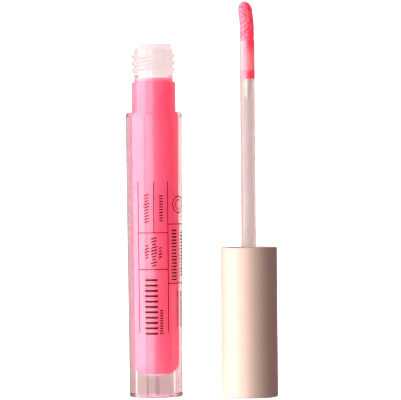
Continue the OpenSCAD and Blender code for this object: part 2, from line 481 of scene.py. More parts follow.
@dataclass(frozen=True)
class StudioWhite(Finish):
    """Plain white floor and backdrop paper, lit evenly by itself."""

    tone: Colour = (0.93, 0.93, 0.93, 1)
    glow: float = 1.0
    roughness: float = 0.9

    def constants(self) -> Values:
        """An even light of its own, with no highlight."""
        return {**super().constants(), "Emission Color": (1, 1, 1, 1),
                "Emission Strength": self.glow,
                "Specular IOR Level": 0.0}

    def pattern(self, graph: Graph, place: Sock) -> Values:
        """Paper that is very nearly even."""
        fibre = self.noise(graph, place, 30.0)
        return {"Base Color": graph.mix(fibre, self.tone, (0.95, 0.95, 0.95, 1))}


# --- outlines


def arc(centre: Point, radius: float, start: float, end: float, steps: int = 8) -> list[Point]:
    """Points of a circular arc in the (radius, height) plane.

    Args:
        centre: the arc's centre.
        radius: the arc's radius.
        start: first angle in degrees, from the outward direction.
        end: last angle in degrees.
        steps: number of segments.

    Returns:
        steps + 1 points from start to end.
    """
    angles = [math.radians(start + (end - start) * i / steps) for i in range(steps + 1)]
    return [(centre[0] + radius * math.cos(a), centre[1] + radius * math.sin(a)) for a in angles]


def straight(a: Point, b: Point, step: float) -> list[Point]:
    """Points from a to b, no further apart than step, both ends included."""
    count = max(1, math.ceil(math.dist(a, b) / step))
    return [(a[0] + (b[0] - a[0]) * i / count, a[1] + (b[1] - a[1]) * i / count)
            for i in range(count + 1)]


def soften(corners: Sequence[tuple[float, float, float]], steps: int = 5) -> list[Point]:
    """Rounds the corners of an outline.

    Args:
        corners: (radius, height, rounding) of each corner; a rounding of 0 keeps it sharp.
        steps: number of segments of each rounding.

    Returns:
        The outline's points.
    """
    points: list[Point] = []
    for i, (r, z, rounding) in enumerate(corners):
        if rounding <= 0 or i in (0, len(corners) - 1):
            points.append((r, z))
            continue
        here = Vector((r, z))
        before = (Vector(corners[i - 1][:2]) - here).normalized()
        after = (Vector(corners[i + 1][:2]) - here).normalized()
        half = math.acos(max(-1.0, min(1.0, before.dot(after)))) / 2
        reach = rounding / math.tan(half)
        a, b = here + before * reach, here + after * reach
        for k in range(steps + 1):
            t = k / steps
            point = a * (1 - t) ** 2 + here * 2 * t * (1 - t) + b * t ** 2
            points.append((point.x, point.y))
    return points


def lathe(name: str, outline: Sequence[Point], axis: Point = (0.0, 0.0), around: int = 128,
          relief: Callable[[float, float, float], float] | None = None,
          closed: bool = False) -> bpy.types.Object:
    """Turns an outline about a vertical axis into a closed, smooth mesh.

    Args:
        name: the piece's name.
        outline: (radius, height) points with the solid on their left as they run; a radius of 0
            is a pole.
        axis: x and y of the axis.
        around: number of segments around.
        relief: gives the radius to add at (angle, radius, height), or None for a plain turning.
        closed: whether the last point joins the first one.

    Returns:
        The new object, at the origin.
    """
    mesh = bmesh.new()
    rings: list[list[bmesh.types.BMVert]] = []
    for r, z in outline:
        if r < 1e-9:
            rings.append([mesh.verts.new((axis[0], axis[1], z))])
            continue
        ring = []
        for i in range(around):
            angle = 2 * math.pi * i / around
            reach = r + (relief(angle, r, z) if relief else 0.0)
            place = (axis[0] + reach * math.cos(angle), axis[1] + reach * math.sin(angle), z)
            ring.append(mesh.verts.new(place))
        rings.append(ring)
    pairs = list(zip(rings, rings[1:])) + ([(rings[-1], rings[0])] if closed else [])
    for low, high in pairs:
        for i in range(around):
            k = (i + 1) % around
            corners = [low[i % len(low)], low[k % len(low)], high[k % len(high)],
                       high[i % len(high)]]
            face = list(dict.fromkeys(corners))
            if len(face) > 2:
                mesh.faces.new(face)
    return finish_mesh(name, mesh)


def added(name: str, data: bpy.types.ID) -> bpy.types.Object:
    """Puts a new object of data into the scene."""
    thing = bpy.data.objects.new(name, data)
    bpy.context.scene.collection.objects.link(thing)
    return thing


def finish_mesh(name: str, mesh: bmesh.types.BMesh, crease: float = 42.0) -> bpy.types.Object:
    """Makes an object of a bmesh, with its normals out and smooth shading.

    Args:
        name: the piece's name.
        mesh: the bmesh, which is freed.
        crease: the angle in degrees from which an edge stays sharp.

    Returns:
        The new object.
    """
    bmesh.ops.recalc_face_normals(mesh, faces=mesh.faces[:])
    data = bpy.data.meshes.new(name)
    mesh.to_mesh(data)
    mesh.free()
    data.shade_smooth()
    data.set_sharp_from_angle(angle=math.radians(crease))
    return added(name, data)


def grown(name: str, base: bpy.types.Object | None, tree: bpy.types.NodeTree,
          values: dict[str, object]) -> bpy.types.Object:
    """Runs a Geometry Nodes tree and keeps its result as a plain mesh.

    Args:
        name: the new piece's name.
        base: the object that the tree starts from, or None.
        tree: the Geometry Nodes tree.
        values: the tree's inputs by name.

    Returns:
        The new object, at the origin, with no modifier. base is removed.
    """
    carrier = base or added(name + "_carrier", bpy.data.meshes.new(name + "_carrier"))
    modifier = carrier.modifiers.new("grow", "NODES")
    modifier.node_group = tree
    for item in tree.interface.items_tree:
        if item.item_type == "SOCKET" and item.in_out == "INPUT" and item.name in values:
            modifier[item.identifier] = values[item.name]
    carrier.update_tag()
    bpy.context.view_layer.update()
    depsgraph = bpy.context.evaluated_depsgraph_get()
    data = bpy.data.meshes.new_from_object(carrier.evaluated_get(depsgraph))
    data.name = name
    carrier.modifiers.remove(modifier)
    bpy.data.objects.remove(carrier)
    return added(name, data)


def new_group(name: str, values: Values) -> tuple[Graph, dict[str, Sock]]:
    """Starts a Geometry Nodes tree.

    Args:
        name: the tree's name.
        values: the value of each input besides the geometry, which also sets its type.

    Returns:
        The graph, and its inputs by name.
    """
    tree = bpy.data.node_groups.new(name, "GeometryNodeTree")
    tree.interface.new_socket("Geometry", in_out="INPUT", socket_type="NodeSocketGeometry")
    for label, value in values.items():
        kind = SOCKET_TYPES[type(value)]
        tree.interface.new_socket(label, in_out="INPUT", socket_type=kind).default_value = value
    tree.interface.new_socket("Geometry", in_out="OUTPUT", socket_type="NodeSocketGeometry")
    graph = Graph(tree)
    group = tree.nodes.new("NodeGroupInput")
    return graph, {output.name: Sock(graph, output) for output in group.outputs if output.name}


def close_group(graph: Graph, parts: Sequence[Sock], material: Sock) -> bpy.types.NodeTree:
    """Ends a tree in Realize Instances and Set Material.

    Args:
        graph: the tree's graph.
        parts: the geometries, which are joined in this order.
        material: the tree's material input.

    Returns:
        The finished tree.
    """
    geometry = parts[0]
    if len(parts) > 1:
        joined = graph.tree.nodes.new("GeometryNodeJoinGeometry")
        for part in parts:
            graph.tree.links.new(part.socket, joined.inputs[0])
        geometry = Sock(graph, joined.outputs[0])
    real = graph.geo("RealizeInstances", {0: geometry})
    dressed = graph.geo("SetMaterial", {"Geometry": real, "Material": material})
    graph.node("NodeGroupOutput", None, {0: dressed})
    return graph.tree


def place_piece(piece: bpy.types.Object, body: Body, slot: Slot, finish: Finish | None,
                *nodes: str) -> bpy.types.Object:
    """Dresses a piece, parents it to its body's empty and hides the CAD nodes that it replaces.

    Args:
        piece: the object.
        body: the rigid body that it rides on.
        slot: its material slot; not used.
        finish: its finish, or None if it is dressed already.
        nodes: the CAD nodes that it replaces.

    Returns:
        The piece.
    """
    if finish is not None:
        piece.data.materials.clear()
        piece.data.materials.append(finish.make())
    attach(piece, body.value)
    if nodes:
        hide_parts(*nodes)
    log.info("%s rides on %s, %d faces", piece.name, body.value, len(piece.data.polygons))
    return piece


# --- the bottle


@dataclass
class Bottle:
    """The clear bottle, its gloss, its wiper and its print, on the axis of the frame."""

    foot_r: float = 7.85 * MM
    shoulder_r: float = 8.28 * MM
    shoulder_z: float = 83.1 * MM
    bevel_z: float = 82.0 * MM
    foot_round: float = 0.6 * MM
    floor_t: float = 6.6 * MM
    chamber_r: float = 4.3 * MM
    chamber_round: float = 3.4 * MM
    bore_r: float = 4.55 * MM
    collar_r: float = 6.4 * MM
    collar_z: float = 92.0 * MM
    neck_r: float = 5.65 * MM
    crest_r: float = 6.3 * MM
    thread_step: float = 2.12 * MM
    thread_root: float = 1.74 * MM
    thread_from: float = 2.8 * MM
    thread_span: float = 450.0
    thread_turn: float = -45.0
    thread_fade: float = 40.0
    punt_r: float = 5.2 * MM
    punt_h: float = 0.35 * MM
    pad_r: float = 1.8 * MM
    flange_r: float = 5.45 * MM
    mouth_r: float = 3.65 * MM
    orifice_r: float = 2.2 * MM
    wet: float = 0.012 * MM
    row_step: float = 0.09 * MM
    rim_z: float = field(init=False)
    top_z: float = field(init=False)
    level_z: float = field(init=False)
    wiper_z: float = field(init=False)

    def __post_init__(self) -> None:
        """Takes the heights from the CAD boxes."""
        self.rim_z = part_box("bottle")[1].z
        self.top_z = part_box("wiper")[1].z
        self.wiper_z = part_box("wiper")[0].z
        self.level_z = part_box("gloss_fill")[1].z

    def wall_r(self, z: float) -> float:
        """Outer radius of the tapered body at height z."""
        low, high = self.foot_round, self.bevel_z
        return self.foot_r + (self.shoulder_r - self.foot_r) * (z - low) / (high - low)

    def thread(self, angle: float, r: float, z: float) -> float:
        """Height of the two-start thread over the neck.

        Args:
            angle: angle around the axis, in radians.
            r: radius of the plain turning there.
            z: height.

        Returns:
            The radius to add, which is 0 away from the neck's outside.
        """
        if r < self.neck_r - 1e-6 or z < self.collar_z + 0.2 * MM or z > self.rim_z - 0.3 * MM:
            return 0.0
        best = 0.0
        depth = self.crest_r - self.neck_r
        for start in (0.0, 180.0):
            turned = (math.degrees(angle) - self.thread_turn - start) % 360
            while turned <= self.thread_span:
                centre = self.collar_z + self.thread_from + 2 * self.thread_step * turned / 360
                run = min(1.0, min(turned, self.thread_span - turned) / self.thread_fade)
                near = 1 - abs(z - centre) / (self.thread_root / 2)
                if near > 0:
                    flank = min(1.0, near * 1.25)
                    best = max(best, depth * run * flank * (1.35 - 0.35 * flank))
                turned += 360
        return best

    def outline(self) -> list[Point]:
        """The wall: up the outside from the foot's centre, and down the bore to the chamber."""
        r = self.chamber_round
        neck = straight((self.neck_r, self.collar_z + 0.35 * MM),
                        (self.neck_r, self.rim_z - 0.35 * MM),
                        self.row_step)
        outside = soften([(0, 0, 0), (self.pad_r, 0, 0.1 * MM),
                          (self.pad_r, self.punt_h, 0.15 * MM),
                          (self.punt_r - 0.5 * MM, self.punt_h, 0.4 * MM),
                          (self.punt_r, 0, 0.2 * MM), (self.foot_r - 0.05 * MM, 0, self.foot_round),
                          (self.shoulder_r, self.bevel_z, 0.25 * MM),
                          (self.shoulder_r - 0.4 * MM, self.shoulder_z, 0.15 * MM),
                          (self.collar_r, self.shoulder_z, 0.08 * MM),
                          (self.collar_r, self.collar_z, 0.3 * MM),
                          (self.neck_r, self.collar_z, 0.1 * MM), (self.neck_r, neck[0][1], 0)])
        inside = soften([(self.neck_r, neck[-1][1], 0), (self.neck_r, self.rim_z, 0.2 * MM),
                         (self.bore_r, self.rim_z, 0.1 * MM), (self.bore_r, self.collar_z, 0)])
        corner = arc((self.chamber_r - r, self.floor_t + r), r, 0, -90, 12)
        return outside[:-1] + neck + inside[1:] + corner + [(0, self.floor_t)]

    def gloss_outline(self) -> list[Point]:
        """The gloss, which wets the bore: from the floor's centre up to its level."""
        r = self.chamber_round
        corner = arc((self.chamber_r - r, self.floor_t + r), r + self.wet, -90, 0, 12)
        wall = self.bore_r + self.wet
        meniscus = arc((wall - 0.25 * MM, self.level_z + 0.3 * MM), 0.25 * MM, 0, -70, 6)
        return ([(0, self.floor_t - self.wet)] + corner
                + straight((wall, self.collar_z), (wall, self.level_z + 0.28 * MM), 0.5 * MM)
                + meniscus + [(2.6 * MM, self.level_z + 0.05 * MM), (0, self.level_z)])

    def wiper_outline(self) -> list[Point]:
        """The wiper: round its outside from the lip to the flange, and back through its bore."""
        sleeve, wall = self.bore_r + self.wet * 0.5, 0.65 * MM
        top, rim, low = self.top_z, self.rim_z, self.wiper_z
        return soften([(self.orifice_r, low, 0), (self.orifice_r + wall, low, 0.1 * MM),
                       (self.orifice_r + wall, low + 0.9 * MM, 0.2 * MM),
                       (self.orifice_r + 2 * wall, low + 2.2 * MM, 0.1 * MM),
                       (sleeve - wall, low + 2.2 * MM, 0.1 * MM), (sleeve - wall, low, 0.05 * MM),
                       (sleeve - 0.5 * MM, low, 0.1 * MM),
                       (sleeve, low + 0.6 * MM, 0.3 * MM), (sleeve, rim + 0.02 * MM, 0.02 * MM),
                       (self.flange_r, rim + 0.02 * MM, 0.12 * MM), (self.flange_r, top, 0.25 * MM),
                       (self.mouth_r + 0.5 * MM, top, 0.12 * MM),
                       (self.mouth_r, top - 0.45 * MM, 0.15 * MM),
                       (self.mouth_r, low + 4.2 * MM, 0.6 * MM),
                       (self.orifice_r, low + 0.9 * MM, 0.2 * MM), (self.orifice_r, low, 0)],
                       6)[:-1]

    def build(self) -> None:
        """Makes the wall, the gloss and the wiper."""
        wall = lathe("bottle_wall", self.outline(), around=160, relief=self.thread)
        place_piece(wall, Body.TUBE, Slot.WALL, ClearWall("clear_wall"), "bottle")
        gloss = lathe("gloss", self.gloss_outline(), around=128)
        finish = ThickGloss("thick_gloss", floor_z=self.floor_t, level_z=self.level_z)
        place_piece(gloss, Body.TUBE, Slot.GLOSS, finish, "gloss_fill")
        wiper = lathe("wiper_insert", self.wiper_outline(), around=128, closed=True)
        # The wiper is dark in itself and shows mostly a painted glow, standing in for light passing
        # through it.
        finish = MilkyPlastic("wiper_plastic", plain=(0.13, 0.115, 0.11, 1),
                              filmed=(0.13, 0.08, 0.085, 1),
                              glow=0.6, gloss_level=0.25)
        place_piece(wiper, Body.TUBE, Slot.WIPER, finish, "wiper")


@dataclass
class Row:
    """One printed row of plain strokes, standing where a line of small print would."""

    name: str
    left: float
    right: float
    low: float
    high: float
    pitch: float
    stroke: float
    slant: float = 0.0
    ragged: float = 0.35
    seed: int = 1


@dataclass
class Print:
    """The printed front: plain rules, rows of strokes and a ring, wrapped on the bottle's wall.

    Places are in millimetres: u runs around the wall to the right of the front, v is the height.
    """

    bottle: Bottle
    front: float = math.radians(-79.0)
    thickness: float = 0.015 * MM
    rule: float = 0.24
    mid_z: float = 45 * MM
    taper_h: float = 80 * MM
    ring: Point = (8.1, 56.2)
    rows: list[Row] = field(default_factory=lambda: [
        Row("row_upper", -3.35, -1.45, 51.2, 59.7, 0.86, 0.34, 0.3, 0.4, 3),
        Row("row_caps", 1.25, 2.45, 51.5, 59.2, 0.8, 0.34, 0.0, 0.12, 5),
        Row("row_first", -3.05, -1.75, 40.8, 44.8, 0.86, 0.36, 0.3, 0.4, 7),
        Row("row_second", -1.2, 0.6, 38.5, 47.3, 0.88, 0.4, 0.3, 0.4, 9),
        Row("row_third", 0.95, 2.2, 41.0, 44.5, 0.88, 0.4, 0.3, 0.4, 11),
        Row("row_tall", -3.1, 0.75, 18.8, 35.8, 1.55, 0.6, 0.0, 0.06, 13),
        Row("row_small", 1.3, 2.3, 18.8, 25.6, 0.74, 0.36, 0.0, 0.1, 15),
        Row("row_side", 5.15, 7.2, 34.4, 49.4, 0.95, 0.42, 0.0, 0.1, 17),
        Row("row_edge", 9.4, 11.6, 35.6, 48.0, 0.95, 0.42, 0.0, 0.1, 19),
        Row("row_foot", 7.0, 8.0, 20.9, 30.9, 0.55, 0.24, 0.0, 0.2, 21),
        Row("row_foot_two", 8.9, 9.9, 20.9, 30.9, 0.55, 0.24, 0.0, 0.2, 23),
    ])

    def strips(self) -> list[tuple[float, float, float, float]]:
        """Rules as (left, right, low, high)."""
        t = self.rule / 2
        upright = [(-5.05, 19.0, 62.9), (-0.28, 48.0, 62.9), (3.95, 19.0, 62.9), (8.45, 33.3, 50.5)]
        level = [(-5.05, 3.95, 48.0), (-5.05, 3.95, 37.4), (3.95, 13.4, 50.5), (3.95, 13.4, 33.3)]
        return ([(u - t, u + t, low, high) for u, low, high in upright]
                + [(a, b, v - t, v + t) for a, b, v in level])

    def wrap(self, u: float, v: float, lift: float) -> tuple[float, float, float]:
        """The place of (u, v) on the wall, lifted off it."""
        r = self.bottle.wall_r(v * MM) + lift
        angle = self.front + u * MM / self.bottle.wall_r(self.mid_z)
        return r * math.cos(angle), r * math.sin(angle), v * MM

    def slab(self, mesh: bmesh.types.BMesh, path: Sequence[tuple[Point, Point]],
             closed: bool) -> None:
        """Adds a thin closed slab on the wall.

        Args:
            mesh: the bmesh to add to.
            path: the slab's two edges, point by point, as (u, v).
            closed: whether the slab runs round into itself.
        """
        low, high = 0.002 * MM, self.thickness
        rings = [[mesh.verts.new(self.wrap(*a, low)), mesh.verts.new(self.wrap(*b, low)),
                  mesh.verts.new(self.wrap(*b, high)), mesh.verts.new(self.wrap(*a, high))]
                 for a, b in path]
        pairs = list(zip(rings, rings[1:])) + ([(rings[-1], rings[0])] if closed else [])
        for one, two in pairs:
            for k in range(4):
                mesh.faces.new([one[k], one[(k + 1) % 4], two[(k + 1) % 4], two[k]])
        if not closed:
            mesh.faces.new(rings[0][::-1])
            mesh.faces.new(rings[-1])

    def rules_and_ring(self) -> bpy.types.Object:
        """The rules and the plain ring as one piece."""
        mesh = bmesh.new()
        for left, right, low, high in self.strips():
            across = straight((left, low), (right, low), 0.4)
            self.slab(mesh, [((u, low), (u, high)) for u, _ in across], False)
        u, v = self.ring
        turns = [2 * math.pi * i / 48 for i in range(48)]
        for outer, width in ((2.55, 0.26), (1.5, 0.2)):
            edges = [[(u + r * math.cos(a), v + r * math.sin(a)) for r in (outer, outer - width)]
                     for a in turns]
            self.slab(mesh, edges, True)
        return finish_mesh("print_rules", mesh)

    def stroke_tree(self, values: Values) -> bpy.types.NodeTree:
        """Geometry Nodes: a row of strokes of random length, wrapped on the tapered wall."""
        graph, given = new_group("stroke_row", values)
        rise = graph.xyz(0.0, 0.0, given["Pitch"])
        line = graph.geo("MeshLine", {"Count": given["Count"], "Offset": rise})
        size = graph.xyz(given["Width"], given["Thickness"], given["Stroke"])
        bar = graph.geo("MeshCube", {"Size": size, "Vertices X": 10})
        index = graph.geo("InputIndex")
        chance = graph.node("FunctionNodeRandomValue", {"data_type": "FLOAT"},
                            {2: 0.0, 3: 1.0, "ID": index, "Seed": given["Seed"]})[1]
        length = 1.0 - given["Ragged"] * chance
        scale = graph.xyz(length, 1.0, 1.0)
        bars = graph.geo("InstanceOnPoints", {"Points": line, "Instance": bar, "Scale": scale})
        real = graph.geo("RealizeInstances", {0: bars})
        x, y, z = graph.split(graph.geo("InputPosition"))
        height = z + given["Start"] + x * given["Slant"]
        angle = given["Front"] + (x + given["Centre"]) / given["Mid Radius"]
        reach = given["Foot Radius"] + height * given["Taper"] + y + given["Thickness"] * 0.6
        place = graph.xyz(reach * angle.cos(), reach * angle.sin(), height)
        wrapped = graph.geo("SetPosition", {"Geometry": real, "Position": place})
        return close_group(graph, [wrapped], given["Ink"])

    def build(self) -> None:
        """Prints the front."""
        ink = PrintInk("print_ink")
        place_piece(self.rules_and_ring(), Body.TUBE, Slot.WALL, ink)
        tree = None
        low, high = self.bottle.wall_r(0), self.bottle.wall_r(self.taper_h)
        for row in self.rows:
            values = {
                "Count": int((row.high - row.low) / row.pitch) + 1, "Pitch": row.pitch * MM,
                "Width": (row.right - row.left) * MM, "Stroke": row.stroke * MM,
                "Slant": row.slant, "Ragged": row.ragged, "Seed": row.seed,
                "Centre": (row.left + row.right) / 2 * MM, "Start": row.low * MM,
                "Front": self.front, "Foot Radius": low, "Taper": (high - low) / self.taper_h,
                "Mid Radius": self.bottle.wall_r(self.mid_z), "Thickness": self.thickness,
                "Ink": ink.make()}
            tree = tree or self.stroke_tree(values)
            place_piece(grown("print_" + row.name, None, tree, values), Body.TUBE, Slot.WALL, None)


# --- the cap


@dataclass
class Cap:
    """The outer cap, the threaded inner cap and its liner, standing on the closed end."""

    wall: float = 0.9 * MM
    end_wall: float = 1.3 * MM
    edge: float = 0.8 * MM
    bead: float = 0.35 * MM
    skirt_r: float = 7.2 * MM
    collar_bore: float = 6.6 * MM
    thread_bore: float = 6.45 * MM
    female_r: float = 5.85 * MM
    collar_depth: float = 9.9 * MM
    thread_step: float = 2.12 * MM
    boss_r: float = 3.6 * MM
    ribs: int = 12
    rib_h: float = 17.0 * MM
    rib_r: float = 0.35 * MM
    rib_sink: float = 0.26 * MM
    disc_t: float = 1.6 * MM
    liner_t: float = 0.8 * MM
    female_from: float = 3.3 * MM
    socket_floor: float = 1.2 * MM
    run: float = 0.05 * MM
    socket_r: float = field(init=False)
    axis: Point = field(init=False)
    r: float = field(init=False)
    top: float = field(init=False)
    seal_z: float = field(init=False)
    disc_z: float = field(init=False)
    boss_z: float = field(init=False)
    skirt_z: float = field(init=False)

    def __post_init__(self) -> None:
        """Takes the cap's axis and heights from the CAD boxes."""
        low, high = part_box("overcap")
        self.axis = ((low.x + high.x) / 2, (low.y + high.y) / 2)
        self.r, self.top = (high.x - low.x) / 2, high.z
        self.seal_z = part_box("seal_ring")[0].z
        self.disc_z = self.seal_z - self.disc_t
        self.boss_z, self.skirt_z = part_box("inner_cap")[0].z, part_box("inner_cap")[1].z
        rod_low, rod_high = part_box("wand_rod")
        self.socket_r = (rod_high.x - rod_low.x) / 2 + self.run

    def shell_outline(self) -> list[Point]:
        """The outer cap, from the closed end's centre up, over the rim and down inside."""
        inner = self.r - self.wall
        return soften([(0, 0, 0), (self.r, 0, self.edge), (self.r, self.top, self.bead),
                       (inner, self.top, self.bead), (inner, self.end_wall, 0.6 * MM),
                       (0, self.end_wall, 0)], 8)

    def inner_outline(self) -> list[Point]:
        """The inner cap: boss, disc and skirt outside, then back down through its bores."""
        step_z = self.top - self.collar_depth
        return soften([(0, self.boss_z, 0), (self.boss_r, self.boss_z, 0.4 * MM),
                       (self.boss_r, self.disc_z, 0.3 * MM), (self.skirt_r, self.disc_z, 0.3 * MM),
                       (self.skirt_r, self.skirt_z, 0.15 * MM),
                       (self.collar_bore, self.skirt_z, 0.15 * MM),
                       (self.collar_bore, step_z + 0.15 * MM, 0.05 * MM),
                       (self.thread_bore, step_z, 0.05 * MM),
                       (self.thread_bore, self.seal_z, 0.1 * MM),
                       (self.socket_r, self.seal_z, 0.1 * MM),
                       (self.socket_r, self.boss_z + self.socket_floor, 0.2 * MM),
                       (0, self.boss_z + self.socket_floor, 0)])

    def rib_tree(self, values: Values) -> bpy.types.NodeTree:
        """Geometry Nodes: crush ribs in a ring around the inner cap's skirt, joined to it."""
        graph, given = new_group("grip_ribs", values)
        ring = graph.geo("MeshCircle", {"Vertices": given["Count"], "Radius": given["Ring Radius"]})
        centre = graph.xyz(given["Axis X"], 0.0, given["Middle"])
        ring = graph.geo("Transform", {"Geometry": ring, "Translation": centre})
        rib = graph.geo("MeshCylinder",
                        {"Vertices": 12, "Radius": given["Rib Radius"], "Depth": given["Height"]})
        ribs = graph.geo("InstanceOnPoints", {"Points": ring, "Instance": rib})
        return close_group(graph, [given["Geometry"], ribs], given["Plastic"])

    def thread_tree(self, values: Values) -> bpy.types.NodeTree:
        """Geometry Nodes: helical threads swept along spirals inside the inner cap."""
        graph, given = new_group("inner_threads", values)
        parts = [given["Geometry"]]
        for turn in (-45.0, 135.0):
            spiral = graph.geo("CurveSpiral",
                               {"Resolution": 72, "Rotations": given["Turns"],
                                "Start Radius": given["Wall Radius"],
                                "End Radius": given["Wall Radius"],
                                "Height": given["Lead"] * given["Turns"], "Reverse": True})
            shift = graph.xyz(given["Axis X"], 0.0, given["Start"])
            spiral = graph.geo("Transform",
                               {"Geometry": spiral, "Translation": shift,
                                "Rotation": (0.0, 0.0, math.radians(turn))})
            section = graph.geo("CurvePrimitiveCircle",
                                {"Resolution": 10, "Radius": given["Depth"]})
            swept = graph.geo("CurveToMesh",
                              {"Curve": spiral, "Profile Curve": section, "Fill Caps": True})
            parts.append(swept)
        return close_group(graph, parts, given["Plastic"])

    def build(self) -> None:
        """Makes the shell and the inner cap, and dresses the liner."""
        shell = lathe("outer_cap", self.shell_outline(), self.axis, 160)
        place_piece(shell, Body.CAP, Slot.SHELL, SoftLacquer("soft_lacquer"), "overcap")
        plastic = MilkyPlastic("inner_plastic", plain=(0.9, 0.82, 0.78, 1),
                               filmed=(0.9, 0.76, 0.73, 1))
        inner = lathe("threaded_inner_cap", self.inner_outline(), self.axis, 96)
        ribs = {"Count": self.ribs, "Ring Radius": self.skirt_r - self.rib_sink,
                "Height": self.rib_h, "Middle": self.disc_z + 1 * MM + self.rib_h / 2,
                "Axis X": self.axis[0], "Rib Radius": self.rib_r, "Plastic": plastic.make()}
        inner = grown("threaded_inner_cap_ribbed", inner, self.rib_tree(ribs), ribs)
        threads = {"Turns": 1.0, "Wall Radius": self.thread_bore, "Lead": 2 * self.thread_step,
                   "Start": self.seal_z + self.liner_t + self.female_from, "Axis X": self.axis[0],
                   "Depth": self.thread_bore - self.female_r, "Plastic": plastic.make()}
        inner = grown("inner_screw_cap", inner, self.thread_tree(threads), threads)
        place_piece(inner, Body.CAP, Slot.INNER, None, "inner_cap")
        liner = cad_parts["seal_ring"]
        liner.data.materials.clear()
        liner.data.materials.append(MilkyPlastic("foam_liner", plain=(0.9, 0.86, 0.82, 1),
                                                 grain=2500.0).make())


# --- the wand


@dataclass
class Wand:
    """The rod, the applicator in its tip and the flock on the applicator."""

    sleeve_r: float = 2.2 * MM
    core_r: float = 1.5 * MM
    hole_r: tuple[float, float] = (1.1 * MM, 0.6 * MM)
    hole_depth: float = 6.0 * MM
    spigot: float = 5.6 * MM
    flock_r: float = 1.95 * MM
    dome_h: float = 2.7 * MM
    apex_drop: float = 0.3 * MM
    core_drop: float = 2.1 * MM
    lean: float = 0.75 * MM
    lean_reach: float = 8.0 * MM
    lean_power: float = 1.2
    side: float = math.radians(11.0)
    axis: Point = field(init=False)
    rod_r: float = field(init=False)
    rod: tuple[float, float] = field(init=False)
    flock: tuple[float, float] = field(init=False)

    def __post_init__(self) -> None:
        """Takes the wand's axis and heights from the CAD boxes."""
        low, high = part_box("wand_rod")
        self.axis = ((low.x + high.x) / 2, (low.y + high.y) / 2)
        self.rod_r = (high.x - low.x) / 2
        self.rod = (low.z, high.z)
        self.flock = (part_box("flock_tip")[0].z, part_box("flock_tip")[1].z)

    def rod_outline(self) -> list[Point]:
        """The rod with the tapered blind hole in its tip."""
        low, high = self.rod
        wide, narrow = self.hole_r
        return soften([(0, low, 0), (self.rod_r, low, 0.2 * MM), (self.rod_r, high, 0.08 * MM),
                       (wide, high, 0.05 * MM), (narrow, high - self.hole_depth, 0.1 * MM),
                       (0, high - self.hole_depth, 0)])

    def stem_outline(self) -> list[Point]:
        """The applicator: spigot, sleeve and the core under the flock."""
        low, high = self.rod[1], self.flock[0]
        wide, narrow = self.hole_r
        gap = 0.02 * MM
        tip = self.flock[1] - self.core_drop
        return soften([(0, low - self.spigot, 0), (narrow - gap, low - self.spigot, 0.1 * MM),
                       (wide - gap, low + 0.01 * MM, 0.03 * MM),
                       (self.sleeve_r, low + 0.01 * MM, 0.12 * MM),
                       (self.sleeve_r, high, 0.12 * MM), (self.core_r, high, 0.05 * MM),
                       (self.core_r, tip, 1.0 * MM), (0, tip, 0)])

    def flock_relief(self) -> list[Point]:
        """The flock's outline before it leans: straight sides, and a blunt dome."""
        low, high = self.flock
        shoulder = high - self.dome_h - self.apex_drop
        dome = [(self.flock_r * math.cos(a), shoulder + self.dome_h * math.sin(a))
                for a in (math.pi / 2 * i / 14 for i in range(15))]
        dome[-1] = (0.0, shoulder + self.dome_h)
        skirt = [(0.0, low + 0.02 * MM)] + straight((self.core_r, low + 0.02 * MM),
                                                    (self.flock_r * 0.99, low + 0.02 * MM),
                                                    0.15 * MM)
        return skirt + straight((self.flock_r, low + 0.15 * MM), (self.flock_r, shoulder),
                                0.12 * MM)[:-1] + dome

    def flock_tree(self, values: Values) -> bpy.types.NodeTree:
        """Geometry Nodes: a clumped, bumpy coat with short wet fibres standing all over it."""
        graph, given = new_group("wet_flock", values)
        place = graph.geo("InputPosition")
        normal = graph.geo("InputNormal")
        noise = graph.one("ShaderNodeTexNoise",
                          {"Vector": place, "Scale": given["Clump Scale"], "Detail": 2.0})
        push = (noise - 0.5) * given["Clump Height"] * 2.0
        offset = graph.node("ShaderNodeVectorMath", {"operation": "SCALE"},
                            {0: normal, "Scale": push})[0]
        coat = graph.geo("SetPosition", {"Geometry": given["Geometry"], "Offset": offset})
        spread = graph.node("GeometryNodeDistributePointsOnFaces", None,
                            {"Mesh": coat, "Density": given["Density"], "Seed": given["Seed"]})
        cone = graph.geo("MeshCone",
                         {"Vertices": 4, "Radius Top": given["Fibre Radius"] * 0.4,
                          "Radius Bottom": given["Fibre Radius"], "Depth": given["Fibre Length"]})
        tilt = graph.node("FunctionNodeRandomValue", {"data_type": "FLOAT_VECTOR"},
                          {0: (-1, -1, 0), 1: (1, 1, 6.28), "Seed": given["Seed"]})[0]
        tilt = graph.node("ShaderNodeVectorMath", {"operation": "MULTIPLY"},
                          {0: tilt, 1: graph.xyz(given["Tilt"], given["Tilt"], 1.0)})[0]
        turned = graph.node("FunctionNodeRotateEuler", {"space": "LOCAL"},
                            {0: spread[2], 1: tilt})[0]
        scale = graph.node("FunctionNodeRandomValue", {"data_type": "FLOAT"},
                           {2: 0.6, 3: 1.1, "Seed": given["Seed"]})[1]
        fibres = graph.geo("InstanceOnPoints",
                           {"Points": spread[0], "Instance": cone, "Rotation": turned,
                            "Scale": scale})
        return close_group(graph, [coat, fibres], given["Fibres"])

    def lean_tip(self, piece: bpy.types.Object) -> None:
        """Leans the upper part of the tip to one side, more and more towards its top."""
        for vertex in piece.data.vertices:
            up = max(0.0, (vertex.co.z - self.flock[1]) / self.lean_reach + 1.0)
            shift = self.lean * up ** self.lean_power
            vertex.co.x -= shift * math.cos(self.side)
            vertex.co.y -= shift * math.sin(self.side)

